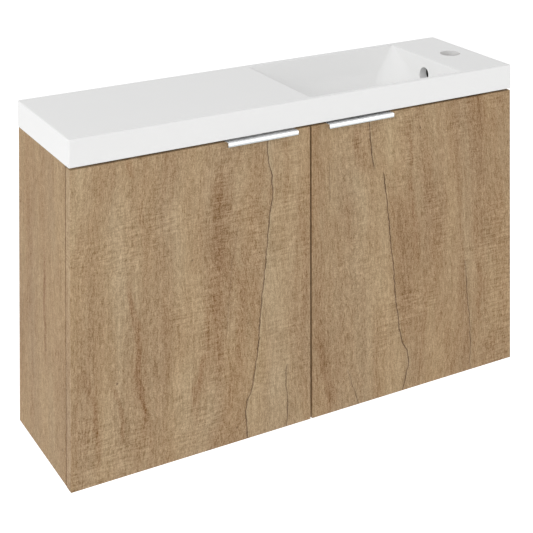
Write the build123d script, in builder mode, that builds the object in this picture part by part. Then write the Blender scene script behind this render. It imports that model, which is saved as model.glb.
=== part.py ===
from build123d import *
import os
from math import atan2, cos, degrees, dist, radians, sin

os.makedirs("parts", exist_ok=True)

# A wall-hung vanity unit: a slab-edged basin with its bowl to the right of the middle, on a
# cabinet with two full-overlay doors. All sizes are in millimetres. The origin is on the wall,
# at the middle of the width and of the wall plates' screws. X runs to the right, Y into the
# wall and Z up, so the front faces -Y.

# Overall sizes
unit_width = 800.0
unit_depth = 220.0
cabinet_height = 460.0
basin_edge_height = 40.0
screw_line_drop = 70.0
cabinet_inset = 2.0

# Boards and the gaps around the doors
door_thickness = 18.0
board_thickness = 16.0
door_to_carcass_gap = 2.0
door_top_gap = 3.5
door_middle_gap = 3.0
board_edge_round = 0.8

# Basin
basin_edge_round = 1.5
basin_corner_round = 2.0
basin_deck_thickness = 12.0
basin_apron_thickness = 14.0
basin_side_seat = 20.0
basin_rib_thickness = 10.0
bowl_left_from_middle = 3.0
bowl_length = 297.0
bowl_front_rim = 8.0
bowl_back_rim = 13.0
bowl_wall = 9.0
bowl_floor_thickness = 10.0
bowl_floor_slope = 2.0
bowl_floor_round = 40.0
bowl_rim_round = 1.5

# The bowl's outline at its rim, at its shoulder and at its floor: the depth under the rim, how
# far its left, right, front and back have run in, and the reach of its elliptical corners,
# across at the left, across at the right and from front to back
bowl_rim = (0.0, (0.0, 0.0, 0.0, 0.0), (3.0, 3.0, 3.0))
bowl_shoulder = (42.0, (22.0, 6.0, 26.0, 12.0), (85.0, 36.0, 79.0))
bowl_floor = (85.0, (60.0, 30.0, 50.0, 34.0), (55.0, 50.0, 55.0))

# Tap hole, overflow and waste
tap_hole_radius = 17.5
tap_from_right_edge = 45.0
tap_from_front = 110.0
overflow_radius = 12.5
overflow_below_rim = 29.0
overflow_from_front = 107.0
overflow_wall = 14.0
channel_depth = 10.0
channel_width = 34.0
channel_wall = 6.0
channel_roof = 1.0
waste_radius = 22.5
waste_from_bowl_right = 75.0
waste_from_front = 120.0
waste_seat_radius = 33.0
waste_seat_below_rim = 89.0
waste_boss_radius = 34.0
waste_boss_height = 20.0
waste_slot_width = 20.0

# Cabinet
rail_recess = 20.0
rail_height = 80.0
upper_rail_drop = 100.0
shelf_clearance = 1.0
shelf_front_setback = 6.0
shelf_back_gap = 4.0
shelf_height = 154.0
shelf_cut_width = 120.0
shelf_cut_front = 62.0
shelf_cut_round = 20.0
shelf_pin_radius = 2.5
shelf_pin_in_board = 8.0
shelf_pin_tab = (10.0, 9.0, 2.5)
shelf_pin_inset = 25.0
fit_clearance = 0.1
past_face = 5.0

# Carcass joints: cam locks, their bolts and dowels
cam_radius = 7.5
cam_thickness = 12.0
cam_from_end = 24.0
cam_bolt_radius = 3.4
cam_bolt_in_side = 10.0
dowel_radius = 4.0
dowel_length = 30.0
dowel_in_side = 11.0
panel_cam_spacing = 110.0
dowel_spacing = 50.0

# Handles: edge pulls, bent over the top of each door
handle_length = 122.0
handle_from_door_edge = 27.0
handle_sheet = 1.2
handle_lip_thickness = 2.2
handle_lip_height = 7.0
handle_reach = 10.0
handle_back_height = 22.0
handle_lip_round = 1.0
handle_screw_spacing = 90.0
handle_screw_below_edge = 12.0

# Hinges. Their sizes are measured from the door's outer edge, across the door, and from the
# door's front face, towards the wall.
hinge_from_door_end = 90.0
door_pivot = (5.7, 7.3)
link_pivot = (26.0, 10.0)
cup_pivot = (8.7, 10.9)
cup_radius = 17.4
cup_from_edge = 20.5
cup_wall = 1.1
cup_floor_from_front = 5.4
cup_floor_thickness = 1.0
cup_flange = 1.0
cup_flange_radius = 18.4
cup_ear_width = 15.0
cup_ear_span = 62.0
cup_ear_offset = 6.0
cup_ear_round = 5.0
cup_screw_spacing = 48.0
lug_inner = 7.0
lug_outer = 9.5
lug_reach = (6.5, 11.0)
lug_top = 13.0
cup_pin_radius = 0.9
link_pin_radius = 1.5
pin_clearance = 0.05
link_plate = 1.2
link_inner = 3.4
link_half_width = 1.7
link_eye_radius = 2.7
link_bends = ((20.5, 8.0), (13.5, 8.0), (11.2, 9.2))
link_hook_centre = (10.2, 10.95)
link_hook_radius = 2.2
link_slot_half = 1.3
link_hook_tip = 8.2
link_web_reach = (14.0, 20.0)
arm_plate = 1.2
arm_inner = 5.0
arm_eye_radius = 3.0
arm_over_plate = 0.3
arm_shoulder = 20.0
arm_neck = 22.5
arm_web_front = 16.0
arm_back = 74.0
mount_plate_thickness = 2.0
mount_plate_reach = (36.0, 80.0)
mount_plate_width = 18.0
mount_wing = (50.0, 64.0)
mount_wing_width = 44.0
mount_screw_spacing = 32.0
mount_boss_reach = (38.0, 72.0)
mount_boss_half_width = 4.7
arm_screw_places = (46.0, 64.0)

# Screws: head radius, head height, shank radius and length under the head
handle_screw = (3.6, 1.8, 1.9, 13.0)
cup_screw = (3.4, 1.6, 1.9, 11.0)
plate_screw = (3.8, 1.6, 2.4, 11.0)
arm_screw = (3.3, 1.6, 2.2, 7.0)
hanger_screw = (4.0, 1.8, 2.2, 24.0)
screw_slot_width = 0.9
screw_slot_share = 0.62
screw_slot_depth = 0.7

# Door buffers
buffer_radius = 4.0
buffer_height = 1.7
buffer_from_edge = 14.0

# Cabinet hangers and wall plates
hanger_width = 13.0
hanger_height = 46.0
hanger_top_drop = 8.0
hanger_from_wall = 12.0
hanger_length = 46.0
hanger_round = 2.0
hanger_screw_spacing = 30.0
hanger_screw_height = 10.0
hook_width = 10.0
hook_thickness = 2.5
hook_in_body = 18.0
hook_drop = 11.5
hook_from_wall = 4.0
plate_sheet = 2.0
plate_width = 42.0
plate_gap_to_side = 1.0
plate_stand_off = 10.0
plate_half_height = 26.0
plate_lip_top_drop = 30.0
wall_screw_spacing = 32.0
wall_screw_hole = 3.5

# Levels and planes that follow from the sizes above
z_top = screw_line_drop
z_rim = z_top + basin_edge_height
z_bottom = z_top - cabinet_height
x_side = unit_width / 2 - cabinet_inset
x_inner = x_side - board_thickness
y_front = -unit_depth
y_door_back = y_front + door_thickness
y_carcass = y_door_back + door_to_carcass_gap
y_rail_back = -rail_recess
y_rail_front = y_rail_back - board_thickness
z_door_top = z_top - door_top_gap
z_panel_top = z_bottom + board_thickness
z_shelf = z_bottom + shelf_height
waste_x = bowl_left_from_middle + bowl_length - waste_from_bowl_right
waste_y = y_front + waste_from_front
tap_x = unit_width / 2 - tap_from_right_edge
tap_y = y_front + tap_from_front
hinge_levels = (z_door_top - hinge_from_door_end, z_bottom + hinge_from_door_end)
rail_levels = {"upper": z_top - upper_rail_drop - rail_height, "lower": z_panel_top}
y_middle = y_carcass / 2
y_rail_middle = y_rail_back - board_thickness / 2
z_panel_middle = z_bottom + board_thickness / 2
y_shelf_front = y_carcass + shelf_front_setback
y_shelf_back = y_rail_front - shelf_back_gap
shelf_pin_rows = (y_shelf_front + shelf_pin_inset, y_shelf_back - shelf_pin_inset)
z_shelf_pin = z_shelf - shelf_pin_radius
z_hanger = (z_top - hanger_top_drop - hanger_height, z_top - hanger_top_drop)
hanger_ys = (-hanger_from_wall - hanger_length, -hanger_from_wall)
x_hanger = x_inner - hanger_width / 2
y_hanger_middle = sum(hanger_ys) / 2
hanger_screw_reach = hanger_screw_spacing / 2
hanger_screw_rows = (y_hanger_middle - hanger_screw_reach, y_hanger_middle + hanger_screw_reach)
z_hanger_screw = z_hanger[0] + hanger_screw_height
plate_lip_top = z_top - plate_lip_top_drop
x_plate = x_inner - plate_gap_to_side - plate_width / 2
x_handle = door_middle_gap / 2 + handle_from_door_edge + handle_length / 2
z_handle_screw = z_door_top - handle_screw_below_edge
cup_ear_from_edge = cup_from_edge + cup_ear_offset
mount_plate_face = board_thickness + mount_plate_thickness
mount_screw_place = sum(mount_wing) / 2
arm_top = link_pivot[0] + arm_eye_radius
sides = {"left": -1, "right": 1}


def block(xs, ys, zs, mode=Mode.ADD):
    """Add or cut a block, given its two limits along each axis."""
    with Locations(((xs[0] + xs[1]) / 2, (ys[0] + ys[1]) / 2, (zs[0] + zs[1]) / 2)):
        Box(abs(xs[1] - xs[0]), abs(ys[1] - ys[0]), abs(zs[1] - zs[0]), mode=mode)


def round_bar(start, along, radius, length, mode=Mode.ADD):
    """Add or cut a round bar that runs from a point along a direction."""
    with BuildSketch(Plane(origin=start, z_dir=along)) as section:
        Circle(radius)
    extrude(section.sketch, amount=length, mode=mode)


def drill(start, along, radius, depth):
    """Cut a round hole from a point along a direction."""
    round_bar(start, along, radius, depth, mode=Mode.SUBTRACT)


def screw(seat, along, size):
    """Add a pan-head screw whose head sits on a point and whose shank runs along a direction."""
    head_radius, head_height, shank_radius, length = size
    outwards = tuple(-part for part in along)
    round_bar(seat, outwards, head_radius, head_height)
    round_bar(seat, along, shank_radius, length)
    head_face = tuple(place + head_height * part for place, part in zip(seat, outwards))
    with BuildSketch(Plane(origin=head_face, z_dir=outwards)) as slot:
        Rectangle(2 * screw_slot_share * head_radius, screw_slot_width)
        Rectangle(screw_slot_width, 2 * screw_slot_share * head_radius)
    extrude(slot.sketch, amount=-screw_slot_depth, mode=Mode.SUBTRACT)


def across(side, from_edge, from_front):
    """A point of the plan, measured from a door's outer edge and front face."""
    return (side * (x_side - from_edge), y_front + from_front)


def save(builder, name):
    """Label a finished piece and write it to its own file."""
    builder.part.label = name
    export_step(builder.part, f"parts/{name}.step")


# Basin: from its sharp-cornered rim the bowl runs in, and its corners open out into fans
def part_way(start, end, share):
    """Each value a share of the way from its start to its end."""
    return tuple(first + (last - first) * share for first, last in zip(start, end))


def bowl_outline(depth, wall=0.0):
    """Left, right, front and back of the bowl at a depth under the rim, and its corners."""
    upper, lower = (bowl_rim, bowl_shoulder) if depth < bowl_shoulder[0] else (bowl_shoulder, bowl_floor)
    share = (depth - upper[0]) / (lower[0] - upper[0])
    run_left, run_right, run_front, run_back = part_way(upper[1], lower[1], share)
    left = bowl_left_from_middle + run_left - wall
    right = bowl_left_from_middle + bowl_length - run_right + wall
    front = y_front + bowl_front_rim + run_front - wall
    back = -bowl_back_rim - run_back + wall
    corners = tuple(reach + wall for reach in part_way(upper[2], lower[2], share))
    return left, right, front, back, corners


def bowl_sketch(plane, depth, wall):
    """The bowl's outline at a depth, drawn round the middle of a plane."""
    left, right, front, back, (reach_left, reach_right, reach) = bowl_outline(depth, wall)
    half_x, half_y = (right - left) / 2, (back - front) / 2
    x_left, x_right, y_bend = reach_left - half_x, half_x - reach_right, half_y - reach
    with BuildSketch(plane) as outline:
        with BuildLine():
            Line((x_left, -half_y), (x_right, -half_y))
            EllipticalCenterArc((x_right, -y_bend), reach_right, reach, start_angle=270, arc_size=90)
            Line((half_x, -y_bend), (half_x, y_bend))
            EllipticalCenterArc((x_right, y_bend), reach_right, reach, start_angle=0, arc_size=90)
            Line((x_right, half_y), (x_left, half_y))
            EllipticalCenterArc((x_left, y_bend), reach_left, reach, start_angle=90, arc_size=90)
            Line((-half_x, y_bend), (-half_x, -y_bend))
            EllipticalCenterArc((x_left, -y_bend), reach_left, reach, start_angle=180, arc_size=90)
        make_face()
    return outline.sketch


def bowl_plane(depth, level, slope=0.0):
    """A plane over the middle of the bowl's outline at a depth, at a level and a slope."""
    left, right, front, back, corners = bowl_outline(depth)
    return Plane(
        origin=((left + right) / 2, (front + back) / 2, level),
        x_dir=(cos(radians(slope)), 0, -sin(radians(slope))),
        z_dir=(sin(radians(slope)), 0, cos(radians(slope))),
    )


def bowl_form(top_depth, floor_depth, wall, floor_round):
    """The bowl from a depth under the rim to the sloping floor, grown by a wall."""
    shoulder_depth = bowl_shoulder[0]
    top_plane = bowl_plane(top_depth, z_rim - top_depth)
    shoulder_plane = bowl_plane(shoulder_depth, z_rim - shoulder_depth)
    floor_plane = bowl_plane(bowl_floor[0], z_rim - floor_depth, bowl_floor_slope)
    with BuildPart() as tub:
        add(bowl_sketch(top_plane, top_depth, wall))
        add(bowl_sketch(shoulder_plane, shoulder_depth, wall))
        add(bowl_sketch(floor_plane, bowl_floor[0], wall))
        loft(ruled=True)
        fillet(tub.faces().sort_by(Axis.Z)[0].edges(), floor_round)
    return tub.part


bowl_hollow = bowl_form(0.0, bowl_floor[0], 0.0, bowl_floor_round)
shell_depth = bowl_floor[0] + bowl_floor_thickness
bowl_shell = bowl_form(basin_deck_thickness, shell_depth, bowl_wall, bowl_floor_round + bowl_wall)
overflow_y = y_front + overflow_from_front
overflow_z = z_rim - overflow_below_rim
x_overflow_face = bowl_outline(overflow_below_rim)[1]
x_channel = x_overflow_face + overflow_wall
z_boss_bottom = z_rim - shell_depth - waste_boss_height
channel_ys = (overflow_y - channel_width / 2, overflow_y + channel_width / 2)
slot_ys = (overflow_y - waste_slot_width / 2, overflow_y + waste_slot_width / 2)
z_slot = (z_boss_bottom + channel_wall, z_boss_bottom + channel_wall + channel_depth)
pocket_ys = (y_front + basin_apron_thickness, -basin_apron_thickness)
pocket_zs = (z_top, z_rim - basin_deck_thickness)
x_pocket_end = unit_width / 2 - basin_side_seat

with BuildPart() as basin:
    block((-unit_width / 2, unit_width / 2), (y_front, 0), (z_top, z_rim))
    fillet(basin.edges().filter_by(Axis.Z), basin_corner_round)
    fillet(basin.faces().sort_by(Axis.Z)[-1].edges(), basin_edge_round)
    # The underside is hollow on both sides of the bowl, with one rib under the long deck
    x_bowl_left = bowl_left_from_middle - bowl_wall
    x_rib = (x_bowl_left - x_pocket_end) / 2
    half_rib = basin_rib_thickness / 2
    block((-x_pocket_end, x_rib - half_rib), pocket_ys, pocket_zs, Mode.SUBTRACT)
    block((x_rib + half_rib, x_bowl_left), pocket_ys, pocket_zs, Mode.SUBTRACT)
    x_pocket_start = x_channel + channel_depth + channel_wall
    block((x_pocket_start, x_pocket_end), pocket_ys, pocket_zs, Mode.SUBTRACT)
    # The bowl's shell, the waste's boss and the casing of the overflow's channel
    add(bowl_shell)
    boss_start = (waste_x, waste_y, z_boss_bottom)
    round_bar(boss_start, (0, 0, 1), waste_boss_radius, waste_boss_height + past_face)
    block(
        (x_channel - overflow_wall, x_pocket_start),
        (channel_ys[0] - channel_wall, channel_ys[1] + channel_wall),
        (z_boss_bottom, z_rim - basin_deck_thickness),
    )
    block(
        (waste_x, x_pocket_start),
        (slot_ys[0] - channel_wall, slot_ys[1] + channel_wall),
        (z_boss_bottom, z_slot[1] + channel_wall),
    )
    # The hollows
    add(bowl_hollow, mode=Mode.SUBTRACT)
    block(
        (x_channel, x_channel + channel_depth),
        channel_ys,
        (z_slot[0], z_rim - basin_deck_thickness - channel_roof),
        Mode.SUBTRACT,
    )
    block((waste_x, x_channel + channel_depth), slot_ys, z_slot, Mode.SUBTRACT)
    drill(
        (x_channel + past_face, overflow_y, overflow_z),
        (-1, 0, 0),
        overflow_radius,
        overflow_wall + 2 * past_face,
    )
    drill((waste_x, waste_y, z_boss_bottom), (0, 0, 1), waste_radius, bowl_floor[0])
    waste_seat = (waste_x, waste_y, z_rim - waste_seat_below_rim)
    drill(waste_seat, (0, 0, 1), waste_seat_radius, waste_boss_height)
    drill((tap_x, tap_y, z_top), (0, 0, 1), tap_hole_radius, basin_edge_height)
    rim_left, rim_right, rim_front, rim_back, rim_corners = bowl_outline(0)
    near = bowl_rim_round / 2
    rim_edges = basin.edges().filter_by_position(Axis.Z, z_rim - near, z_rim + near)
    rim_edges = rim_edges.filter_by_position(Axis.X, rim_left - near, rim_right + near)
    rim_edges = rim_edges.filter_by_position(Axis.Y, rim_front - near, rim_back + near)
    fillet(rim_edges, bowl_rim_round)
save(basin, "basin")


# Carcass. Every board end takes cam bolts and dowels at the same places as the side panels.
def board_joints():
    """Each place where a board's end meets a side panel: what holds it, and where."""
    places = []
    for offset in (-panel_cam_spacing / 2, panel_cam_spacing / 2):
        places.append(("cam", y_middle + offset, z_panel_middle))
    for offset in (-dowel_spacing / 2, dowel_spacing / 2):
        places.append(("dowel", y_middle + offset, z_panel_middle))
    for z_rail in rail_levels.values():
        z_middle = z_rail + rail_height / 2
        places.append(("cam", y_rail_middle, z_middle))
        for offset in (-dowel_spacing / 2, dowel_spacing / 2):
            places.append(("dowel", y_rail_middle, z_middle + offset))
    return places


def drill_board_ends(low, high):
    """Drill a board's two ends for the bolts and dowels that lie between two levels."""
    for kind, y, z in board_joints():
        if low < z < high:
            for side in sides.values():
                end = (side * x_inner, y, z)
                inwards = (-side, 0, 0)
                if kind == "cam":
                    drill(end, inwards, cam_bolt_radius + fit_clearance, cam_from_end)
                else:
                    depth = dowel_length - dowel_in_side + fit_clearance
                    drill(end, inwards, dowel_radius + fit_clearance, depth)


def side_panel(side):
    """A side panel with its inner face drilled for everything that is fixed to it."""
    outwards = (side, 0, 0)
    with BuildPart() as panel:
        block((side * x_inner, side * x_side), (y_carcass, 0), (z_bottom, z_top))
        outer_face = panel.faces().sort_by(Axis.X)[0 if side < 0 else -1]
        fillet(outer_face.edges(), board_edge_round)
        for kind, y, z in board_joints():
            if kind == "cam":
                radius, depth = cam_bolt_radius, cam_bolt_in_side
            else:
                radius, depth = dowel_radius, dowel_in_side
            drill((side * x_inner, y, z), outwards, radius + fit_clearance, depth + fit_clearance)
        for y in shelf_pin_rows:
            depth = shelf_pin_in_board + fit_clearance
            drill((side * x_inner, y, z_shelf_pin), outwards, shelf_pin_radius + fit_clearance, depth)
        for level in hinge_levels:
            for offset in (-mount_screw_spacing / 2, mount_screw_spacing / 2):
                x, y = across(side, board_thickness, mount_screw_place)
                depth = plate_screw[3] - mount_plate_thickness + fit_clearance
                drill((x, y, level + offset), outwards, plate_screw[2] + fit_clearance, depth)
        for y in hanger_screw_rows:
            depth = hanger_screw[3] - hanger_width + fit_clearance
            drill((side * x_inner, y, z_hanger_screw), outwards, hanger_screw[2] + fit_clearance, depth)
    return panel


for name, side in sides.items():
    save(side_panel(side), f"side_panel_{name}")

with BuildPart() as bottom_panel:
    block((-x_inner, x_inner), (y_carcass, 0), (z_bottom, z_panel_top))
    drill_board_ends(z_bottom, z_panel_top)
    for side in sides.values():
        for offset in (-panel_cam_spacing / 2, panel_cam_spacing / 2):
            pocket = (side * (x_inner - cam_from_end), y_middle + offset, z_bottom)
            drill(pocket, (0, 0, 1), cam_radius + fit_clearance, cam_thickness + 2 * fit_clearance)
save(bottom_panel, "bottom_panel")


def back_rail(z_rail):
    """A rail between the side panels, near the wall."""
    with BuildPart() as rail:
        block((-x_inner, x_inner), (y_rail_front, y_rail_back), (z_rail, z_rail + rail_height))
        drill_board_ends(z_rail, z_rail + rail_height)
        for side in sides.values():
            pocket = (side * (x_inner - cam_from_end), y_rail_back, z_rail + rail_height / 2)
            drill(pocket, (0, -1, 0), cam_radius + fit_clearance, cam_thickness + 2 * fit_clearance)
    return rail


for name, z_rail in rail_levels.items():
    save(back_rail(z_rail), f"back_rail_{name}")


def cam_lock(seat, along, side):
    """A cam lock that goes in from a board's face and takes the head of a bolt from its side."""
    start = tuple(place + fit_clearance * part for place, part in zip(seat, along))
    round_bar(start, along, cam_radius, cam_thickness)
    middle = board_thickness / 2
    bolt_axis = tuple(place + middle * part for place, part in zip(seat, along))
    bolt_axis = (bolt_axis[0] + side * cam_from_end, bolt_axis[1], bolt_axis[2])
    drill(bolt_axis, (-side, 0, 0), cam_bolt_radius + fit_clearance, cam_from_end + fit_clearance)
    with BuildSketch(Plane(origin=start, z_dir=along)) as slot:
        Rectangle(2 * screw_slot_share * cam_radius, 2 * screw_slot_width)
        Rectangle(2 * screw_slot_width, 2 * screw_slot_share * cam_radius)
    extrude(slot.sketch, amount=2 * screw_slot_depth, mode=Mode.SUBTRACT)


with BuildPart() as cam_locks:
    for side in sides.values():
        x_cam = side * (x_inner - cam_from_end)
        for offset in (-panel_cam_spacing / 2, panel_cam_spacing / 2):
            cam_lock((x_cam, y_middle + offset, z_bottom), (0, 0, 1), side)
        for z_rail in rail_levels.values():
            cam_lock((x_cam, y_rail_back, z_rail + rail_height / 2), (0, -1, 0), side)
save(cam_locks, "cam_locks")

with BuildPart() as cam_bolts:
    for side in sides.values():
        for kind, y, z in board_joints():
            if kind == "cam":
                start = (side * (x_inner + cam_bolt_in_side), y, z)
                round_bar(start, (-side, 0, 0), cam_bolt_radius, cam_bolt_in_side + cam_from_end)
save(cam_bolts, "cam_bolts")

with BuildPart() as dowels:
    for side in sides.values():
        for kind, y, z in board_joints():
            if kind == "dowel":
                start = (side * (x_inner + dowel_in_side), y, z)
                round_bar(start, (-side, 0, 0), dowel_radius, dowel_length)
save(dowels, "dowels")

# Shelf, cut out at the back to leave room for the drain pipe, and its pins
with BuildPart() as shelf:
    x_shelf = x_inner - shelf_clearance
    block((-x_shelf, x_shelf), (y_shelf_front, y_shelf_back), (z_shelf, z_shelf + board_thickness))
    cut_xs = (waste_x - shelf_cut_width / 2, waste_x + shelf_cut_width / 2)
    cut_ys = (waste_y - shelf_cut_front, y_shelf_back)
    block(cut_xs, cut_ys, (z_shelf, z_shelf + board_thickness), Mode.SUBTRACT)
    cut_corners = shelf.edges().filter_by(Axis.Z).filter_by_position(
        Axis.Y, cut_ys[0] - 1, cut_ys[0] + 1
    )
    fillet(cut_corners, shelf_cut_round)
save(shelf, "shelf")

with BuildPart() as shelf_pins:
    tab_reach, tab_width, tab_height = shelf_pin_tab
    for side in sides.values():
        for y in shelf_pin_rows:
            start = (side * (x_inner + shelf_pin_in_board), y, z_shelf_pin)
            round_bar(start, (-side, 0, 0), shelf_pin_radius, shelf_pin_in_board + tab_reach)
            tab_xs = (side * (x_inner - tab_reach), side * x_inner)
            tab_ys = (y - tab_width / 2, y + tab_width / 2)
            block(tab_xs, tab_ys, (z_shelf - tab_height, z_shelf))
save(shelf_pins, "shelf_pins")


# Doors and what each of them carries
def cup_screw_points(side):
    """The seats of the screws that hold the hinge cups of one door."""
    points = []
    for level in hinge_levels:
        for offset in (-cup_screw_spacing / 2, cup_screw_spacing / 2):
            x, y = across(side, cup_ear_from_edge, door_thickness + cup_flange)
            points.append((x, y, level + offset))
    return points


def handle_screw_points(side):
    """The seats of the screws that hold the handle of one door."""
    points = []
    for offset in (-handle_screw_spacing / 2, handle_screw_spacing / 2):
        points.append((side * x_handle + offset, y_door_back + handle_sheet, z_handle_screw))
    return points


def door(side):
    """A door with its bores for the hinge cups and its screw holes."""
    with BuildPart() as leaf:
        xs = (side * door_middle_gap / 2, side * x_side)
        block(xs, (y_front, y_door_back), (z_bottom, z_door_top))
        fillet(leaf.faces().sort_by(Axis.Y)[0].edges(), board_edge_round)
        for level in hinge_levels:
            x, y = across(side, cup_from_edge, door_thickness)
            cup_depth = door_thickness - cup_floor_from_front + cup_floor_thickness
            drill((x, y, level), (0, -1, 0), cup_radius + fit_clearance, cup_depth + fit_clearance)
        for x, y, z in cup_screw_points(side):
            drill((x, y, z), (0, -1, 0), cup_screw[2] + fit_clearance, cup_screw[3] + fit_clearance)
        for x, y, z in handle_screw_points(side):
            depth = handle_screw[3] + fit_clearance
            drill((x, y, z), (0, -1, 0), handle_screw[2] + fit_clearance, depth)
    return leaf


def handle(side):
    """An edge pull: a plate over the door's top edge with a lip in front and a flange behind."""
    lip_front = y_front - handle_reach
    lip_back = lip_front + handle_lip_thickness
    flange_back = y_door_back + handle_sheet
    top = z_door_top + handle_sheet
    lip_bottom = top - handle_lip_height
    flange_bottom = top - handle_back_height
    with BuildPart() as pull:
        with BuildSketch(Plane.YZ.offset(side * x_handle - handle_length / 2)):
            with BuildLine():
                Polyline(
                    (lip_front, lip_bottom),
                    (lip_front, top),
                    (flange_back, top),
                    (flange_back, flange_bottom),
                    (y_door_back, flange_bottom),
                    (y_door_back, z_door_top),
                    (lip_back, z_door_top),
                    (lip_back, lip_bottom),
                    close=True,
                )
            make_face()
        extrude(amount=handle_length)
        lip_edges = pull.edges().filter_by(Axis.X).filter_by_position(
            Axis.Y, lip_front - 0.01, lip_front + 0.01
        )
        fillet(lip_edges, handle_lip_round)
        for x, y, z in handle_screw_points(side):
            drill((x, y, z), (0, -1, 0), handle_screw[2] + fit_clearance, 2 * handle_sheet)
    return pull


def hinge_cups(side):
    """The two hinge cups of a door, each with its flange, its ears and the lugs for its pin."""
    with BuildPart() as cups:
        for level in hinge_levels:
            x, y_flange = across(side, cup_from_edge, door_thickness)
            cup_depth = door_thickness - cup_floor_from_front + cup_floor_thickness
            with BuildSketch(Plane.XZ.offset(-y_flange)):
                with Locations((x, level)):
                    Circle(cup_flange_radius)
                x_ear, y_flange = across(side, cup_ear_from_edge, door_thickness)
                with Locations((x_ear, level)):
                    RectangleRounded(cup_ear_width, cup_ear_span, cup_ear_round)
            extrude(amount=-cup_flange)
            round_bar((x, y_flange, level), (0, -1, 0), cup_radius, cup_depth)
            hollow_start = (x, y_flange + cup_flange, level)
            hollow_depth = cup_depth + cup_flange - cup_floor_thickness
            drill(hollow_start, (0, -1, 0), cup_radius - cup_wall, hollow_depth)
            x_lug, y_lug = across(side, lug_reach[0], cup_floor_from_front)
            x_lug_end, y_lug_top = across(side, lug_reach[1], lug_top)
            for facing in (-1, 1):
                lug_zs = (level + facing * lug_inner, level + facing * lug_outer)
                block((x_lug, x_lug_end), (y_lug, y_lug_top), lug_zs)
            x_pin, y_pin = across(side, *cup_pivot)
            pin_hole = cup_pin_radius + pin_clearance
            drill((x_pin, y_pin, level - lug_outer), (0, 0, 1), pin_hole, 2 * lug_outer)
        for x, y, z in cup_screw_points(side):
            drill((x, y, z), (0, -1, 0), cup_screw[2] + fit_clearance, 2 * cup_flange)
    return cups


def hinge_pins(side, pivot, radius, half_length):
    """A pair of upright hinge pins, one on each hinge level."""
    with BuildPart() as pins:
        for level in hinge_levels:
            x, y = across(side, *pivot)
            round_bar((x, y, level - half_length), (0, 0, 1), radius, 2 * half_length)
    return pins


def screws_at(points, along, size):
    """One node of equal screws."""
    with BuildPart() as screws:
        for point in points:
            screw(point, along, size)
    return screws


# Hinge links: two bent plates with an eye for the arm's pin and a hook round the cup's pin
def hinge_links(side):
    """The two links of a door's hinges, each joined by a web into one U-shaped piece."""
    centreline = [link_pivot, *link_bends]
    with BuildPart() as links:
        for level in hinge_levels:
            for start in (level + link_inner, level - link_inner - link_plate):
                with BuildSketch(Plane.XY.offset(start)):
                    for first, second in zip(centreline, centreline[1:]):
                        head, tail = across(side, *first), across(side, *second)
                        middle = ((head[0] + tail[0]) / 2, (head[1] + tail[1]) / 2)
                        turn = degrees(atan2(tail[1] - head[1], tail[0] - head[0]))
                        with Locations(middle):
                            SlotCenterToCenter(dist(head, tail), 2 * link_half_width, rotation=turn)
                    hook_x, hook_y = across(side, *link_hook_centre)
                    with Locations((hook_x, hook_y)):
                        Circle(link_hook_radius)
                    tip_x = across(side, link_hook_tip, 0)[0]
                    prong_length = abs(tip_x - hook_x)
                    prong_middle = ((tip_x + hook_x) / 2, hook_y)
                    with Locations(prong_middle):
                        Rectangle(prong_length, 2 * link_hook_radius)
                    with Locations((hook_x, hook_y)):
                        Circle(link_slot_half, mode=Mode.SUBTRACT)
                    with Locations((hook_x + side * prong_length, hook_y)):
                        Rectangle(2 * prong_length, 2 * link_slot_half, mode=Mode.SUBTRACT)
                    with Locations(across(side, *link_pivot)):
                        Circle(link_eye_radius)
                        Circle(link_pin_radius + pin_clearance, mode=Mode.SUBTRACT)
                extrude(amount=link_plate)
            web_start, web_low = across(side, link_web_reach[0], link_bends[0][1] - link_half_width)
            web_end, web_high = across(side, link_web_reach[1], link_bends[0][1] + link_half_width)
            block((web_start, web_end), (web_low, web_high), (level - link_inner, level + link_inner))
    return links


def hinge_arms(side):
    """The two hinge arms on one side: channels that reach from the plates into the cups."""
    base = mount_plate_face + arm_over_plate
    outline = (
        (base, arm_back),
        (base, arm_shoulder),
        (arm_neck, link_pivot[1]),
        (arm_top, link_pivot[1]),
        (arm_top, arm_back),
    )
    with BuildPart() as arms:
        for level in hinge_levels:
            for start in (level + arm_inner, level - arm_inner - arm_plate):
                with BuildSketch(Plane.XY.offset(start)):
                    with BuildLine():
                        Polyline(*[across(side, *point) for point in outline], close=True)
                    make_face()
                    with Locations(across(side, *link_pivot)):
                        Circle(arm_eye_radius)
                        Circle(link_pin_radius + pin_clearance, mode=Mode.SUBTRACT)
                extrude(amount=arm_plate)
            web_start, web_front = across(side, arm_top - arm_plate, arm_web_front)
            web_end, web_back = across(side, arm_top, arm_back)
            block((web_start, web_end), (web_front, web_back), (level - arm_inner, level + arm_inner))
            for place in arm_screw_places:
                x, y = across(side, arm_top, place)
                drill((x, y, level), (side, 0, 0), arm_screw[2] + fit_clearance, 2 * arm_plate)
    return arms


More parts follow.
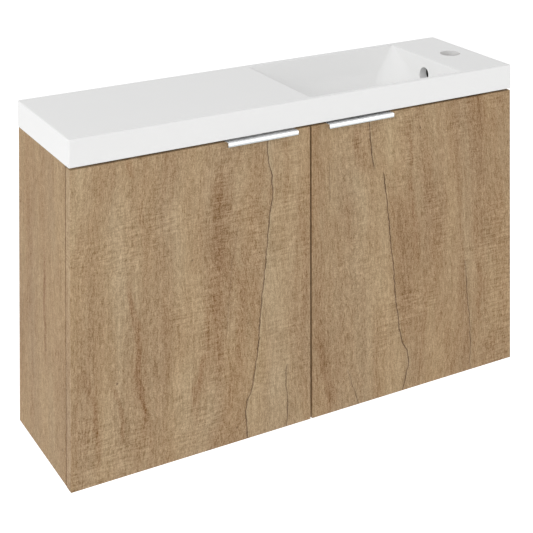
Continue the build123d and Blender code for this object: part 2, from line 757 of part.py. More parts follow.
def hinge_plates(side):
    """The two mounting plates on one side, with the bosses that the arms sit over."""
    with BuildPart() as plates:
        for level in hinge_levels:
            x_low = across(side, board_thickness, 0)[0]
            x_high = across(side, mount_plate_face, 0)[0]
            x_boss = across(side, arm_top - arm_plate - fit_clearance, 0)[0]
            half_width = mount_plate_width / 2
            half_wing = mount_wing_width / 2
            plate_ys = [across(side, 0, place)[1] for place in mount_plate_reach]
            wing_ys = [across(side, 0, place)[1] for place in mount_wing]
            boss_ys = [across(side, 0, place)[1] for place in mount_boss_reach]
            block((x_low, x_high), plate_ys, (level - half_width, level + half_width))
            block((x_low, x_high), wing_ys, (level - half_wing, level + half_wing))
            boss_zs = (level - mount_boss_half_width, level + mount_boss_half_width)
            block((x_high, x_boss), boss_ys, boss_zs)
            for offset in (-mount_screw_spacing / 2, mount_screw_spacing / 2):
                x, y = across(side, mount_plate_face, mount_screw_place)
                hole = plate_screw[2] + fit_clearance
                drill((x, y, level + offset), (side, 0, 0), hole, mount_plate_thickness)
            for place in arm_screw_places:
                x, y = across(side, arm_top, place)
                depth = arm_screw[3] + fit_clearance
                drill((x, y, level), (side, 0, 0), arm_screw[2] + fit_clearance, depth)
    return plates


for name, side in sides.items():
    save(door(side), f"door_{name}")
    save(handle(side), f"handle_{name}")
    save(screws_at(handle_screw_points(side), (0, -1, 0), handle_screw), f"handle_screws_{name}")
    save(hinge_cups(side), f"hinge_cups_{name}")
    save(screws_at(cup_screw_points(side), (0, -1, 0), cup_screw), f"hinge_cup_screws_{name}")
    save(hinge_pins(side, cup_pivot, cup_pin_radius, lug_outer), f"hinge_cup_pins_{name}")
    save(hinge_links(side), f"hinge_links_{name}")
    arm_pin_half_length = arm_inner + arm_plate
    save(hinge_pins(side, link_pivot, link_pin_radius, arm_pin_half_length), f"hinge_arm_pins_{name}")
    save(hinge_arms(side), f"hinge_arms_{name}")
    save(hinge_plates(side), f"hinge_plates_{name}")
    with BuildPart() as buffer:
        x_buffer = side * (door_middle_gap / 2 + buffer_from_edge)
        round_bar((x_buffer, y_door_back, z_panel_middle), (0, 1, 0), buffer_radius, buffer_height)
    save(buffer, f"door_buffer_{name}")

with BuildPart() as hinge_plate_screws:
    for side in sides.values():
        for level in hinge_levels:
            for offset in (-mount_screw_spacing / 2, mount_screw_spacing / 2):
                x, y = across(side, mount_plate_face, mount_screw_place)
                screw((x, y, level + offset), (side, 0, 0), plate_screw)
save(hinge_plate_screws, "hinge_plate_screws")

with BuildPart() as hinge_arm_screws:
    for side in sides.values():
        for level in hinge_levels:
            for place in arm_screw_places:
                x, y = across(side, arm_top, place)
                screw((x, y, level), (side, 0, 0), arm_screw)
save(hinge_arm_screws, "hinge_arm_screws")

# Cabinet hangers in the top back corners, and the wall plates that they hook over
hook_top = plate_lip_top + hook_thickness


def cabinet_hanger(side):
    """A hanger's body, fixed to the side panel, with the slot for its hook."""
    with BuildPart() as body:
        block((side * (x_inner - hanger_width), side * x_inner), hanger_ys, z_hanger)
        fillet(body.edges().filter_by(Axis.X), hanger_round)
        slot_xs = (x_hanger * side - hook_width / 2, x_hanger * side + hook_width / 2)
        slot_xs = (slot_xs[0] - fit_clearance, slot_xs[1] + fit_clearance)
        slot_ys = (-hanger_from_wall - hook_in_body - fit_clearance, -hanger_from_wall)
        slot_zs = (plate_lip_top - fit_clearance, hook_top + fit_clearance)
        block(slot_xs, slot_ys, slot_zs, Mode.SUBTRACT)
        for y in hanger_screw_rows:
            start = (side * (x_inner - hanger_width), y, z_hanger_screw)
            drill(start, (side, 0, 0), hanger_screw[2] + fit_clearance, hanger_width)
    return body


def hanger_hook(side):
    """A flat hook that rests on the wall plate's lip and turns down behind it."""
    with BuildPart() as hook:
        hook_xs = (x_hanger * side - hook_width / 2, x_hanger * side + hook_width / 2)
        y_tip = -hook_from_wall
        block(hook_xs, (-hanger_from_wall - hook_in_body, y_tip), (plate_lip_top, hook_top))
        block(hook_xs, (y_tip - hook_thickness, y_tip), (hook_top - hook_drop, hook_top))
    return hook


def wall_plate(side):
    """A wall plate: flat on the wall with two screw holes, then bent forwards and up to a lip."""
    xs = (side * x_plate - plate_width / 2, side * x_plate + plate_width / 2)
    z_bend = (plate_half_height - plate_sheet, plate_half_height)
    with BuildPart() as plate:
        block(xs, (-plate_sheet, 0), (-plate_half_height, plate_half_height))
        block(xs, (-plate_stand_off, 0), z_bend)
        block(xs, (-plate_stand_off, plate_sheet - plate_stand_off), (z_bend[0], plate_lip_top))
        for z in (-wall_screw_spacing / 2, wall_screw_spacing / 2):
            drill((side * x_plate, -plate_sheet, z), (0, 1, 0), wall_screw_hole, plate_sheet)
    return plate


for name, side in sides.items():
    save(cabinet_hanger(side), f"cabinet_hanger_{name}")
    save(hanger_hook(side), f"hanger_hook_{name}")
    save(wall_plate(side), f"wall_plate_{name}")

with BuildPart() as hanger_screws:
    for side in sides.values():
        for y in hanger_screw_rows:
            screw((side * (x_inner - hanger_width), y, z_hanger_screw), (side, 0, 0), hanger_screw)
save(hanger_screws, "hanger_screws")
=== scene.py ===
# The looks of a wall-hung vanity unit: a cast basin on an oak cabinet with two doors.
# Metres throughout. X runs to the right, Y into the wall and Z up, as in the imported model.
import math

import bmesh
import bpy
from mathutils import Matrix, Vector


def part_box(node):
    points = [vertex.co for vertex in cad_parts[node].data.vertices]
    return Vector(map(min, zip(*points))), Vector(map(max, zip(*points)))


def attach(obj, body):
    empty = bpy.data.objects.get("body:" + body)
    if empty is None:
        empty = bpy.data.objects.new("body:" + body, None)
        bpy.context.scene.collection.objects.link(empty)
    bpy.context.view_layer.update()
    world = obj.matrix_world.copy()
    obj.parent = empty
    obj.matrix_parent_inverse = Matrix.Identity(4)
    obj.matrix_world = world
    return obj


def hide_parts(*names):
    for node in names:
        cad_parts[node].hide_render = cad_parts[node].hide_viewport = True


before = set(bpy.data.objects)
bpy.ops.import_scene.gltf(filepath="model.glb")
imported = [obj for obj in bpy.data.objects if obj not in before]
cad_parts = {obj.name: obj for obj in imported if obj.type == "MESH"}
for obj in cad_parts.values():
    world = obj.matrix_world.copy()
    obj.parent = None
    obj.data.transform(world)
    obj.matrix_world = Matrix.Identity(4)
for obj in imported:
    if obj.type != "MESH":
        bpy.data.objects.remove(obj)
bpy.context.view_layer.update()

MM = 0.001
SIDES = ("left", "right")


# ---------------------------------------------------------------- ways to build a finish

def paint(red, green, blue):
    """A colour as it is seen on a screen, 0 to 255, turned into the light it stands for."""
    def light(value):
        value /= 255
        return value / 12.92 if value <= 0.04045 else ((value + 0.055) / 1.055) ** 2.4
    return (light(red), light(green), light(blue), 1.0)


class Finish:
    """One material, with short ways to add its nodes and join them up."""

    def __init__(self, name, roughness, metal=0.0):
        self.material = bpy.data.materials.new(name)
        self.material.use_nodes = True
        self.nodes = self.material.node_tree.nodes
        self.links = self.material.node_tree.links
        self.surface = self.nodes["Principled BSDF"]
        self.set("Roughness", roughness)
        self.set("Metallic", metal)
        self.spot = self.add("ShaderNodeTexCoord").outputs["Object"]

    def feed(self, socket, value):
        if isinstance(value, bpy.types.NodeSocket):
            self.links.new(value, socket)
        else:
            socket.default_value = value

    def set(self, socket, value):
        self.feed(self.surface.inputs[socket], value)

    def add(self, kind, feeds=None, **settings):
        node = self.nodes.new(kind)
        for name, value in settings.items():
            setattr(node, name, value)
        for name, value in (feeds or {}).items():
            self.feed(node.inputs[name], value)
        return node

    def reckon(self, operation, first, second=0.0):
        node = self.add("ShaderNodeMath", {0: first, 1: second}, operation=operation)
        return node.outputs[0]

    def weigh(self, *parts):
        """Adds patterns up, each times its share."""
        total = None
        for pattern, share in parts:
            part = self.reckon("MULTIPLY", pattern, share)
            total = self.reckon("ADD", total, part) if total else part
        return total

    def between(self, value, low, high, at_low=0.0, at_high=1.0, soft=False):
        """Turns a value from low to high into one from at_low to at_high, and holds it there."""
        node = self.add("ShaderNodeMapRange", {"Value": value, "From Min": low, "From Max": high,
                                               "To Min": at_low, "To Max": at_high})
        node.interpolation_type = "SMOOTHSTEP" if soft else "LINEAR"
        return node.outputs["Result"]

    def either_way(self, pattern, low, high, reach):
        """A pattern from low to high, spread about 0 by reach to each side."""
        return self.between(pattern, low, high, -reach, reach)

    def stretch(self, spot, scale, turn=(0, 0, 0), shift=(0, 0, 0)):
        node = self.add("ShaderNodeMapping", {"Vector": spot, "Scale": scale, "Rotation": turn,
                                              "Location": shift})
        return node.outputs["Vector"]

    def cloud(self, spot, scale, detail=2.0, rough=0.5, shift=(0, 0, 0)):
        """A soft random pattern around 0.5, with scale as its lumps to the metre."""
        node = self.add("ShaderNodeTexNoise", {"Vector": self.stretch(spot, scale, shift=shift),
                                               "Scale": 1.0, "Detail": detail, "Roughness": rough})
        return node.outputs["Fac"]

    def blend(self, share, first, second, kind="MIX"):
        node = self.add("ShaderNodeMix", {0: share, 6: first, 7: second}, data_type="RGBA",
                        blend_type=kind)
        return node.outputs[2]

    def tones(self, value, stops):
        """Colours along a value, from a list of places and colours."""
        node = self.add("ShaderNodeValToRGB", {"Fac": value})
        ramp = node.color_ramp.elements
        while len(ramp) < len(stops):
            ramp.new(0.5)
        for stop, (place, colour) in zip(ramp, stops):
            stop.position, stop.color = place, colour
        return node.outputs["Color"]

    def relief(self, height, depth, strength):
        node = self.add("ShaderNodeBump", {"Height": height, "Distance": depth,
                                           "Strength": strength})
        self.set("Normal", node.outputs["Normal"])


# ---------------------------------------------------------------- oak

# From the wood's darkest tone to its palest
OAK_TONES = ((0.30, paint(146, 116, 84)), (0.42, paint(163, 135, 103)),
             (0.53, paint(174, 149, 117)), (0.68, paint(188, 166, 134)))
OAK_RED = paint(140, 104, 70)
# The dark of the knots, and the painted shade in and beside the cracks
OAK_KNOT_AND_CRACK_SHADE = paint(66, 40, 20)
OAK_SHADED_EDGE = paint(92, 69, 48)
# The light that a fleck adds or takes away
FLECK_LIGHT = (0.345, 0.275, 0.200, 1.0)

DOOR_BACK_SIDE = -199.9 * MM    # a side panel's front edge lies before this
CRACK_SHADOW = 7 * MM           # how far a crack's painted shadow darkens the wood beside it
PLANK_REACH = 60 * MM           # how far a plank's step in tone fades out over
PLANK_EDGE = 0.3 * MM
STAIN_DEPTH = 0.14
REDDENS_FROM = 0.45             # a stronger stain than this also turns the wood red

# Lines that meander down the doors, drawn from the top down. Each has its width, its strength
# and its bends: height and place across, in millimetres. Planks meet at the long cracks: the
# last number is how much lighter the plank on the right is.
LEFT_DOOR_CRACKS = (
    (1.3, 1.0, ((70, -79), (32, -77), (-3, -70), (-23, -69), (-53, -74), (-131, -82), (-208, -91),
                (-274, -98), (-324, -109), (-342, -116), (-395, -113)), 0.045),
    (1.1, 0.9, ((-290, -43), (-324, -46), (-347, -43), (-395, -46)), -0.02),
    (1.0, 0.35, ((-60, -127), (-114, -138), (-168, -144), (-230, -150)), 0.0))
RIGHT_DOOR_CRACKS = (
    (1.3, 1.0, ((70, 108), (30, 111), (2, 115), (-24, 119)), 0.03),
    (1.4, 1.0, ((-24, 136), (-67, 142), (-124, 148), (-181, 155), (-225, 159), (-273, 165),
                (-305, 171), (-346, 185), (-363, 181), (-395, 170)), -0.04),
    (1.0, 0.8, ((-200, 301), (-263, 306), (-306, 310), (-395, 312)), 0.02),
    (1.2, 0.7, ((-327, 65), (-357, 76), (-396, 91)), 0.0),
    (1.0, 0.5, ((10, 33), (-20, 34), (-62, 35)), 0.0))

# Soft streaks in the same terms. One with a strength below 0 is lighter than the wood.
LEFT_DOOR_STAINS = (
    (8, 1.0, ((-90, -311), (-132, -306), (-174, -300), (-226, -293), (-270, -290), (-340, -276))),
    (16, 0.4, ((-200, -300), (-270, -292), (-330, -282), (-392, -276))),
    (8, 0.7, ((72, -311), (54, -305), (36, -300))),
    (25, 0.55, ((70, -160), (-27, -157), (-108, -163), (-177, -168), (-245, -172), (-340, -178))),
    (9, 0.45, ((0, -128), (-65, -130), (-114, -138), (-168, -144), (-240, -150))),
    (16, 0.4, ((-10, -104), (-90, -112), (-160, -118), (-260, -128), (-370, -150))),
    (8, 0.5, ((-205, -384), (-251, -370), (-296, -362), (-365, -360))),
    (6, 0.5, ((-245, -343), (-292, -323), (-350, -314))),
    (9, 0.6, ((-235, -184), (-295, -199), (-350, -205))),
    (12, 0.35, ((60, -10), (-40, -14), (-150, -9), (-300, -12))),
    (30, -0.5, ((-5, -55), (-102, -48), (-177, -57), (-265, -76))),
    (20, -0.4, ((-230, -216), (-285, -224), (-370, -222))),
    (18, -0.4, ((-250, -352), (-300, -346), (-380, -342))),
    (40, -0.3, ((40, -350), (-40, -345), (-120, -350))))
RIGHT_DOOR_STAINS = (
    (7, 0.55, ((60, 182), (-11, 190), (-68, 193), (-151, 200), (-215, 205))),
    (30, 0.35, ((30, 215), (-60, 225), (-160, 232), (-260, 226))),
    (16, 0.7, ((-255, 6), (-320, 24), (-353, 31), (-396, 35))),
    (22, 0.5, ((66, 82), (20, 88), (-30, 92))),
    (26, 0.4, ((-150, 28), (-230, 22), (-300, 26))),
    (8, 0.5, ((-200, 318), (-254, 334), (-287, 330), (-325, 344))),
    (20, 0.4, ((-40, 160), (-120, 172), (-230, 186), (-330, 205))),
    (34, -0.5, ((-40, 106), (-137, 127), (-218, 129), (-300, 140))),
    (26, -0.35, ((60, 150), (20, 152), (-20, 156))),
    (30, -0.4, ((-180, 345), (-260, 356), (-370, 352))),
    (150, 0.42, ((200, 330), (0, 330), (-200, 330), (-560, 330))))
SIDE_STAINS = (
    (7, 0.8, ((-60, -108), (-120, -112), (-190, -113), (-260, -118))),
    (20, 0.4, ((40, -60), (-100, -52), (-240, -58), (-380, -66))),
    (22, -0.4, ((60, -150), (-90, -158), (-240, -150), (-380, -160))))


def beside_line(oak, across, along, points, soft_ends):
    """How far to the right of a drawn line a spot is, and 1 along the line, or 0 past its ends."""
    margin = 5 * MM
    points = sorted((height * MM, place * MM) for height, place in points)
    bottom, top = points[0][0], points[-1][0]
    left = min(place for _, place in points) - margin
    right = max(place for _, place in points) + margin
    path = oak.add("ShaderNodeFloatCurve", {"Value": oak.between(along, bottom, top)})
    bends = path.mapping.curves[0].points
    while len(bends) < len(points):
        bends.new(0.5, 0.5)
    for bend, (level, place) in zip(bends, points):
        bend.location = ((level - bottom) / (top - bottom), (place - left) / (right - left))
    path.mapping.update()
    line = oak.between(path.outputs["Value"], 0, 1, left, right)
    fade = (top - bottom) * 0.25 if soft_ends else 10 * MM
    below_top = oak.between(along, top - fade, top, 1, 0, soft=True)
    above_bottom = oak.between(along, bottom, bottom + fade, 0, 1, soft=True)
    return oak.reckon("SUBTRACT", across, line), oak.reckon("MULTIPLY", below_top, above_bottom)


def crack(oak, across, along, width, strength, points, plank_step):
    """A crack's dark line of painted shade, a painted shadow beside it and a painted highlight
    on its right edge, and how the tone of the planks steps over it.
    """
    beside, held = beside_line(oak, across, along, points, soft_ends=False)
    away = oak.reckon("ABSOLUTE", beside)
    # The crack's dark line is painted shade
    inside = oak.between(away, width * 0.3, width, strength, 0, soft=True)
    # Painted shadow on the wood beside the crack
    shadow = oak.between(away, 0, CRACK_SHADOW, 0.14 * strength, 0, soft=True)
    depth = oak.reckon("MULTIPLY", oak.reckon("MAXIMUM", inside, shadow), held)
    # A painted highlight along the crack's right edge
    painted_lip_highlight = oak.between(beside, width * 0.9, width * 1.5, 0, 0.10 * strength)
    painted_lip_highlight = oak.reckon("MULTIPLY", painted_lip_highlight, oak.between(beside, width * 2.0, width * 3.0, 1, 0))
    left_plank = oak.between(beside, -PLANK_REACH, 0, 0, -plank_step)
    on_left = oak.between(beside, 0, PLANK_EDGE, 1, 0)
    left_plank = oak.reckon("MULTIPLY", left_plank, on_left)
    right_plank = oak.between(beside, 0, PLANK_REACH, plank_step, 0)
    on_right = oak.between(beside, 0, PLANK_EDGE, 0, 1)
    right_plank = oak.reckon("MULTIPLY", right_plank, on_right)
    tone = oak.reckon("ADD", painted_lip_highlight, oak.reckon("ADD", left_plank, right_plank))
    return depth, oak.reckon("MULTIPLY", tone, held)


def stain(oak, across, along, width, strength, points):
    """A soft streak along the grain, darker where its strength is above 0 and else lighter."""
    beside, held = beside_line(oak, across, along, points, soft_ends=True)
    away = oak.reckon("ABSOLUTE", beside)
    return oak.reckon("MULTIPLY", oak.between(away, 0, width, strength, 0, soft=True), held)


def drawn_lines(oak, spot, across, along, level, cracks, stains):
    """The wood's tone with the lines drawn in it, how deep its cracks and knots are, and
    where it is red."""
    wobble = oak.cloud(spot, (12, 12, 60), detail=3.0, rough=0.6)
    knots_and_crack_shade = pin_knots(oak, spot)
    near = oak.reckon("ADD", across, oak.either_way(wobble, 0.2, 0.8, 2.0 * MM))
    for width, strength, points, plank_step in cracks:
        depth, step = crack(oak, near, along, width * MM, strength, points, plank_step)
        knots_and_crack_shade = oak.reckon("MAXIMUM", knots_and_crack_shade, depth)
        level = oak.reckon("ADD", level, step)
    loose = oak.cloud(spot, (30, 30, 22), detail=3.0, rough=0.6, shift=(4, 4, 4))
    ragged = oak.reckon("ADD", across, oak.either_way(loose, 0.2, 0.8, 7 * MM))
    red = None
    for width, strength, points in stains:
        soft = stain(oak, ragged, along, width * MM, strength, points)
        level = oak.reckon("SUBTRACT", level, oak.reckon("MULTIPLY", soft, STAIN_DEPTH))
        if strength > REDDENS_FROM:
            red = oak.reckon("MAXIMUM", red, soft) if red else soft
    return level, knots_and_crack_shade, red


def swing_grain(oak, spot):
    """A spot's three parts, and the spot bent so that the grain sways from side to side."""
    sway = oak.cloud(spot, (3.5, 3.5, 2.2), detail=1.0)
    ripple = oak.cloud(spot, (12, 12, 16))
    parts = oak.add("ShaderNodeSeparateXYZ", {"Vector": spot})
    bend = oak.reckon("ADD", oak.either_way(sway, 0, 1, 0.05), oak.either_way(ripple, 0, 1, 0.007))
    swung = oak.add("ShaderNodeCombineXYZ", {"X": oak.reckon("ADD", parts.outputs["X"], bend),
                                             "Y": oak.reckon("ADD", parts.outputs["Y"], bend),
                                             "Z": parts.outputs["Z"]})
    return parts, swung.outputs[0]


def saw_marks(oak, spot):
    """Fine uneven lines that a saw left across the grain, strong in some patches only."""
    fine = oak.cloud(spot, (38, 38, 380), detail=1.0)
    fine = oak.either_way(fine, 0.36, 0.64, 1)
    torn = oak.cloud(spot, (110, 110, 430), detail=1.0, shift=(3, 1, 7))
    torn = oak.either_way(torn, 0.34, 0.66, 1)
    where = oak.cloud(spot, (9, 9, 7), detail=3.0, rough=0.6, shift=(5, 2, 3))
    where = oak.between(where, 0.47, 0.60, 0.04, 1.0)
    return oak.reckon("MULTIPLY", oak.weigh((fine, 0.65), (torn, 0.35)), where)


def fine_grain(oak, swung):
    """Short needles, long fibres and crisp specks: how much lighter or darker they are."""
    needles = oak.cloud(swung, (560, 560, 105), detail=1.0, rough=0.6)
    fibres = oak.cloud(swung, (260, 260, 13), rough=0.6)
    specks = oak.cloud(swung, (680, 680, 560), detail=1.0, shift=(2, 9, 4))
    grain = oak.reckon("ADD", oak.either_way(needles, 0.25, 0.75, 0.27),
                       oak.either_way(fibres, 0.25, 0.75, 0.15))
    return oak.reckon("ADD", grain, oak.either_way(specks, 0.25, 0.75, 0.30))


def pin_knots(oak, spot):
    """Small dark dots, far apart."""
    dots = oak.add("ShaderNodeTexVoronoi", {"Vector": oak.stretch(spot, (17, 17, 13)),
                                            "Scale": 1.0, "Randomness": 1.0})
    return oak.between(dots.outputs["Distance"], 0.018, 0.036, 0.75, 0, soft=True)


def oak_board(name, cracks=(), stains=(), lie_down=False, side=False, tint=(1.0, 1.0, 1.0)):
    """Sawn oak with its grain upright, or along X where the board lies down."""
    oak = Finish(name, 0.6)
    spot = oak.spot
    if lie_down:
        spot = oak.stretch(spot, (1, 1, 1), turn=(0, math.radians(90), 0))
    parts, swung = swing_grain(oak, spot)
    bands = oak.cloud(swung, (13, 13, 1.4), detail=3.0, rough=0.6)
    ribbons = oak.cloud(swung, (34, 34, 2.6), rough=0.55, shift=(7, 3, 1))
    patches = oak.cloud(spot, (17, 17, 11), detail=3.0, rough=0.6, shift=(1, 8, 2))
    streaks = oak.cloud(swung, (95, 95, 6), detail=3.0, rough=0.6)
    level = oak.weigh((bands, 0.40), (ribbons, 0.25), (patches, 0.15), (streaks, 0.20))
    across = parts.outputs["Y" if side else "X"]
    along = parts.outputs["Z"]
    level, knots_and_crack_shade, red = drawn_lines(oak, spot, across, along, level, cracks, stains)

    colour = oak.tones(level, OAK_TONES)
    if red:
        worn = oak.between(streaks, 0.35, 0.6, 0.65, 0.15)
        colour = oak.blend(oak.reckon("MULTIPLY", red, worn), colour, OAK_RED)
    warmth = oak.between(oak.cloud(swung, (15, 15, 3), shift=(6, 6, 1)), 0.3, 0.7)
    warmth = oak.blend(warmth, (1.02, 1.0, 0.96, 1), (0.98, 1.0, 1.03, 1))
    colour = oak.blend(1.0, colour, warmth, "MULTIPLY")

    # Dark flecks keep less blue than red: the shade is added, and not a share of the tone
    grain = fine_grain(oak, swung)
    sawn = saw_marks(oak, spot)
    shade = oak.reckon("ADD", grain, oak.reckon("MULTIPLY", sawn, 0.22))
    colour = oak.blend(1.0, colour, oak.blend(1.0, FLECK_LIGHT, shade, "MULTIPLY"), "ADD")
    broken = oak.between(oak.cloud(spot, (60, 60, 60)), 0.30, 0.62, 1.0, 0.6)
    knots_and_crack_shade = oak.reckon("MULTIPLY", knots_and_crack_shade, broken)
    # Dark knots, and painted shade in and beside the cracks
    colour = oak.blend(knots_and_crack_shade, colour, OAK_KNOT_AND_CRACK_SHADE)
    colour = oak.blend(1.0, colour, tint + (1.0,), "MULTIPLY")
    if side:
        # The edge that faces the doors' backs is painted as if in their shade
        edge = oak.between(parts.outputs["Y"], DOOR_BACK_SIDE, DOOR_BACK_SIDE + 0.2 * MM, 1, 0)
        colour = oak.blend(edge, colour, OAK_SHADED_EDGE)
    oak.set("Base Color", colour)
    oak.set("Roughness", oak.between(grain, -0.3, 0.3, 0.68, 0.54))

    height = oak.reckon("SUBTRACT", oak.weigh((grain, 0.5), (sawn, 0.25)), knots_and_crack_shade)
    oak.relief(height, 0.5 * MM, 0.45)
    oak.set("Specular IOR Level", 0.28)
    return oak.material


# ---------------------------------------------------------------- the other finishes

def cast_mineral(name, tone, roughness):
    """Satin cast mineral of one grey, 0 to 255, with the faintest waves in its skin."""
    cast = Finish(name, roughness)
    drift = cast.cloud(cast.spot, (4, 4, 4))
    cast.set("Base Color", cast.blend(drift, paint(tone - 1, tone - 1, tone - 1.6),
                                      paint(tone + 1, tone + 1, tone + 0.4)))
    cast.relief(cast.cloud(cast.spot, (160, 160, 160)), 0.02 * MM, 0.35)
    return cast.material


def brushed_metal(name, light, dark, top, roughness, along, depth):
    """Metal with fine lines along one way: 0 for X, 1 for Y, 2 for Z. Its colour holds a painted
    highlight along its top edge and painted shade below it."""
    # Painted highlight from just under the top edge up, painted shade lower down
    painted_highlight_from, painted_shade_below = top - 2.8 * MM, top - 5.0 * MM
    metal = Finish(name, roughness, metal=1.0)
    height = metal.add("ShaderNodeSeparateXYZ", {"Vector": metal.spot}).outputs["Z"]
    highlight_share = metal.between(height, painted_shade_below, painted_highlight_from, soft=True)
    metal.set("Base Color", metal.blend(highlight_share, dark, light))
    fine = [2400.0, 2400.0, 2400.0]
    fine[along] = 14.0
    lines = metal.cloud(metal.spot, tuple(fine), rough=0.6)
    haze = metal.cloud(metal.spot, (30, 30, 30))
    rough = metal.reckon("ADD",
                         metal.between(lines, 0.3, 0.7, roughness - 0.06, roughness + 0.06),
                         metal.either_way(haze, 0.3, 0.7, 0.02))
    metal.set("Roughness", rough)
    metal.relief(lines, depth, 0.4)
    return metal.material


def plated_steel(name, light, dark, roughness):
    """Plated steel: a cloudy skin with small ripples."""
    steel = Finish(name, roughness, metal=1.0)
    cloud = steel.cloud(steel.spot, (140, 140, 140), detail=3.0, rough=0.6)
    steel.set("Base Color", steel.blend(cloud, dark, light))
    steel.set("Roughness", steel.between(cloud, 0.3, 0.7, roughness + 0.07, roughness - 0.05))
    steel.relief(cloud, 0.05 * MM, 0.3)
    return steel.material


def moulded_plastic(name, colour, roughness, clear=0.0):
    """Moulded plastic with the fine skin of its mould."""
    plastic = Finish(name, roughness)
    skin = plastic.cloud(plastic.spot, (1500, 1500, 1500))
    drift = plastic.cloud(plastic.spot, (40, 40, 40), detail=1.0)
    aged = plastic.between(drift, 0.3, 0.7, 0, 0.05)
    plastic.set("Base Color", plastic.blend(aged, colour, paint(190, 190, 184)))
    plastic.set("Transmission Weight", clear)
    plastic.relief(skin, 0.04 * MM, 0.3)
    return plastic.material


def beech(name):
    """Beech: pale wood with short dark flecks."""
    wood = Finish(name, 0.6)
    flecks = wood.cloud(wood.spot, (90, 900, 900), detail=3.0, rough=0.6)
    wood.set("Base Color", wood.tones(flecks, ((0.35, paint(176, 138, 96)),
                                               (0.5, paint(214, 178, 134)),
                                               (0.7, paint(226, 194, 152)))))
    wood.relief(flecks, 0.2 * MM, 0.4)
    return wood.material


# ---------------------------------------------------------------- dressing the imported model

def dress(node, material):
    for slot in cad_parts[node].material_slots:
        slot.material = material


def dress_cabinet():
    lying = oak_board("oak_lying", lie_down=True)
    upright = oak_board("oak_side", stains=SIDE_STAINS, side=True, tint=(0.92, 0.872, 0.785))
    dress("door_left", oak_board("oak_left_door", LEFT_DOOR_CRACKS, LEFT_DOOR_STAINS,
                                 tint=(0.99, 0.975, 0.95)))
    dress("door_right", oak_board("oak_right_door", RIGHT_DOOR_CRACKS, RIGHT_DOOR_STAINS,
                                  tint=(0.985, 0.96, 0.92)))
    for side in SIDES:
        dress(f"side_panel_{side}", upright)
    for board in ("bottom_panel", "back_rail_upper", "back_rail_lower", "shelf"):
        dress(board, lying)


def dress_fittings():
    handle_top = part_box("handle_left")[1][2]
    # The handles' light and dark tones are a painted highlight and painted shade
    aluminium = brushed_metal("satin_aluminium", paint(236, 237, 238), paint(172, 175, 175),
                              handle_top, 0.27, 0, 0.02 * MM)
    nickel = plated_steel("nickel_plate", paint(222, 219, 212), paint(206, 203, 197), 0.26)
    zinc = plated_steel("zinc_plate", paint(206, 209, 214), paint(182, 186, 192), 0.38)
    plastic = moulded_plastic("hanger_plastic_white", paint(236, 236, 232), 0.42)
    rubber = moulded_plastic("buffer_rubber_clear", paint(226, 226, 222), 0.35, clear=0.45)
    wood = beech("beech_dowel")
    for side in SIDES:
        dress(f"handle_{side}", aluminium)
        for piece in ("hinge_cups", "hinge_cup_pins", "hinge_cup_screws", "hinge_links",
                      "hinge_arms", "hinge_arm_pins", "hinge_plates"):
            dress(f"{piece}_{side}", nickel)
        for piece in ("handle_screws", "hanger_hook", "wall_plate"):
            dress(f"{piece}_{side}", zinc)
        dress(f"cabinet_hanger_{side}", plastic)
        dress(f"door_buffer_{side}", rubber)
    for piece in ("shelf_pins", "cam_locks", "cam_bolts", "hanger_screws"):
        dress(piece, zinc)
    for piece in ("hinge_plate_screws", "hinge_arm_screws"):
        dress(piece, nickel)
    dress("dowels", wood)


# Where the overflow's channel runs inside the casting
CHANNEL_LOW = Vector((309.6, -131.0, 0.0)) * MM
CHANNEL_HIGH = Vector((320.1, -95.0, 97.5)) * MM

SAME_POINT = 0.002 * MM
CREASE = math.radians(32)       # a sharper bend than this stays an edge


def basin():
    """The cast basin with its skin smoothed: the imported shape, merged and shaded as one casting."""
    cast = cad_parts["basin"].data.copy()
    cast.name = "cast_basin"
    shape = bmesh.new()
    shape.from_mesh(cast)
    bmesh.ops.remove_doubles(shape, verts=shape.verts, dist=SAME_POINT)
    for face in shape.faces:
        face.smooth = True
    for edge in shape.edges:
        if len(edge.link_faces) == 2 and edge.calc_face_angle() > CREASE:
            edge.smooth = False
    # The walls of the overflow's channel are painted dark, for no light reaches down there
    for face in shape.faces:
        middle = face.calc_center_median()
        inside = all(low < place < high
                     for low, place, high in zip(CHANNEL_LOW, middle, CHANNEL_HIGH))
        face.material_index = int(inside)
    # Clearing a mesh's materials also clears its faces' choice of them, so it comes first
    cast.materials.clear()
    shape.to_mesh(cast)
    shape.free()
    cast.materials.append(cast_mineral("basin_cast_mineral", 242, 0.34))
    cast.materials.append(cast_mineral("overflow_channel_dark", 44, 0.55))
    piece = bpy.data.objects.new("cast_basin", cast)
    bpy.context.scene.collection.objects.link(piece)
    even = piece.modifiers.new("even_shading", "WEIGHTED_NORMAL")
    even.keep_sharp = True
    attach(piece, "carcass")
    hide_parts("basin")


# ---------------------------------------------------------------- studio

FLOOR_LEVEL = -0.74
FLOOR_RADIUS = 14.0
FLOOR_GLOW = 0.62       # what brings the floor up to white where it is seen
ROOM_LIGHT = 0.624
UNIT_MIDDLE = (0, -0.11, 0)

# Each lamp's name and place, its width and height, and its power in watts
LAMPS = (("key_front_left", (-2.2, -2.4, 1.6), 1.6, 1.6, 32),
         ("fill_back_left", (-3.2, 0.3, 1.0), 1.6, 1.6, 14.7),
         ("fill_low_right", (1.9, -2.8, -0.35), 2.0, 0.5, 10.5))


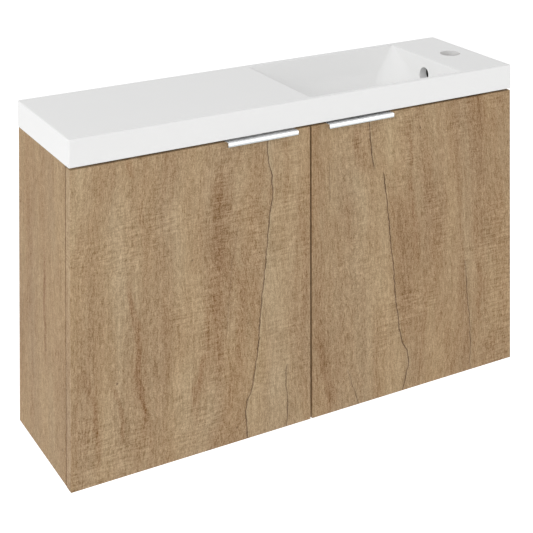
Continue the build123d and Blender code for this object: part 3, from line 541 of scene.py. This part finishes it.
def camera():
    """The photograph's camera. It looks down at the unit with its film held nearly upright, as a
    view camera does, so the unit's upright edges stay upright in the picture."""
    place = Vector((-1.0687, -1.9613, 0.7146))
    film_right = Vector((0.87288, -0.48793, -0.00220))
    film_up = Vector((0.00545, 0.00524, 0.99997))
    towards_eye = Vector((-0.45445, -0.80053, 0.39067))
    film = Matrix((film_right, film_up, towards_eye)).transposed().to_4x4()
    film.translation = place
    lens = bpy.data.cameras.new("camera")
    lens.lens = 96.14
    lens.sensor_width = 36.0
    lens.clip_start = 0.05
    lens.clip_end = 60.0
    eye = bpy.data.objects.new("camera", lens)
    stand = bpy.data.objects.new("camera_stand", None)
    for thing in (eye, stand):
        bpy.context.scene.collection.objects.link(thing)
    eye.parent = stand
    eye.matrix_parent_inverse = film
    bpy.context.scene.camera = eye


def seen_rays(nodes, links):
    """1 for rays that look at the backdrop straight, in a reflection or through glass, else 0."""
    rays = nodes.new("ShaderNodeLightPath")
    total = rays.outputs["Is Camera Ray"]
    for name in ("Is Glossy Ray", "Is Transmission Ray"):
        both = nodes.new("ShaderNodeMath")
        both.operation = "MAXIMUM"
        links.new(total, both.inputs[0])
        links.new(rays.outputs[name], both.inputs[1])
        total = both.outputs[0]
    return total


def sky(strength):
    """An even pale room: its light falls from all round, and it is seen as white."""
    world = bpy.data.worlds.new("pale_room")
    bpy.context.scene.world = world
    world.use_nodes = True
    nodes, links = world.node_tree.nodes, world.node_tree.links
    level = nodes.new("ShaderNodeMapRange")
    level.inputs["To Min"].default_value = strength
    level.inputs["To Max"].default_value = 1.0
    links.new(seen_rays(nodes, links), level.inputs["Value"])
    links.new(level.outputs["Result"], nodes["Background"].inputs["Strength"])
    nodes["Background"].inputs["Color"].default_value = (1, 1, 1, 1)


def floor():
    shape = bmesh.new()
    bmesh.ops.create_circle(shape, cap_ends=True, segments=96, radius=FLOOR_RADIUS,
                            matrix=Matrix.Translation((0, 0, FLOOR_LEVEL)))
    sheet = bpy.data.meshes.new("floor")
    shape.to_mesh(sheet)
    shape.free()
    ground = bpy.data.objects.new("floor", sheet)
    bpy.context.scene.collection.objects.link(ground)
    pale = Finish("floor_pale", 0.9)
    pale.set("Base Color", (0.86, 0.86, 0.86, 1))
    pale.set("Specular IOR Level", 0.0)
    pale.set("Emission Color", (1, 1, 1, 1))
    seen = seen_rays(pale.nodes, pale.links)
    pale.set("Emission Strength", pale.between(seen, 0, 1, 0, FLOOR_GLOW))
    sheet.materials.append(pale.material)


def softbox(name, place, wide, high, power):
    lamp = bpy.data.lights.new(name, "AREA")
    lamp.shape, lamp.size, lamp.size_y, lamp.energy = "RECTANGLE", wide, high, power
    box = bpy.data.objects.new(name, lamp)
    box.location = place
    box.rotation_mode = "QUATERNION"
    box.rotation_quaternion = (Vector(UNIT_MIDDLE) - Vector(place)).to_track_quat("-Z", "Y")
    bpy.context.scene.collection.objects.link(box)


def studio():
    bpy.context.scene.view_settings.view_transform = "Standard"
    camera()
    sky(ROOM_LIGHT)
    floor()
    for lamp in LAMPS:
        softbox(*lamp)


studio()
basin()
dress_cabinet()
dress_fittings()
